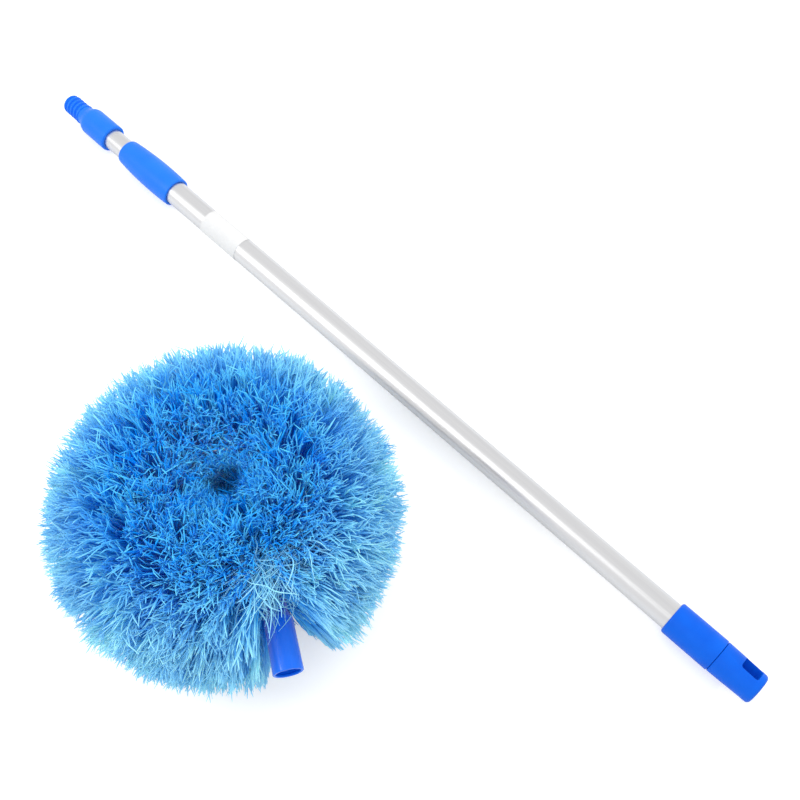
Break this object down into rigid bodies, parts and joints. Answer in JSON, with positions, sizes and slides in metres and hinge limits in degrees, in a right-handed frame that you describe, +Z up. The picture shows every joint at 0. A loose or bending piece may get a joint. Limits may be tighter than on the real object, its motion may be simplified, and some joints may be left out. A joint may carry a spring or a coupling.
{
  "type": "round ceiling duster",
  "caption": "Telescopic pole with a threaded tip and a swivelling hanging cap, and its round looped-wire bristle head unscrewed and lying beside it.",
  "frame": {"origin": "middle of the footprint on the table, under the lying pole and its head", "axes": "+X along the pole from the threaded tip to the hanging cap, +Y across from the head to the pole, +Z up"},
  "size_m": [0.896, 0.363, 0.1607],
  "materials": {
    "blue_moulding": "smooth moulded, low gloss",
    "aluminium_tube": "drawn and lightly brushed along its length",
    "label_paper": "matt white, bare",
    "galvanised_wire": "galvanised, twisted in a pair",
    "blue_filament": "flagged soft filament, paler at the tips",
    "lock_ring_plastic": "natural, uncoloured"
  },
  "bodies": {
    "outer_section": {"outer_tube": "aluminium_tube", "collar": "blue_moulding", "wrap_label": "label_paper", "grip_sleeve": "blue_moulding", "end_plug": "blue_moulding", "head_socket": "blue_moulding", "wire_strand_a": "galvanised_wire", "wire_strand_b": "galvanised_wire", "bristle_ring": "blue_filament"},
    "lock": {"lock_ring": "lock_ring_plastic"},
    "inner_section": {"inner_tube": "aluminium_tube", "threaded_tip": "blue_moulding", "lock_plug": "blue_moulding"},
    "cap": {"hang_cap": "blue_moulding"}
  },
  "joints": [
    {"name": "tube_slide", "type": "slide", "parent": "outer_section", "child": "lock", "axis": [-1, 0, 0], "range_m": [0, 0.679]},
    {"name": "lock_twist", "type": "hinge", "parent": "lock", "child": "inner_section", "pos_m": [0.352, 0.1655, 0.016], "axis": [-1, 0, 0], "range_deg": [-45, 45]},
    {"name": "cap_swivel", "type": "hinge", "parent": "outer_section", "child": "cap", "pos_m": [0.4077, 0.1655, 0.016], "axis": [1, 0, 0], "continuous": true}
  ]
}
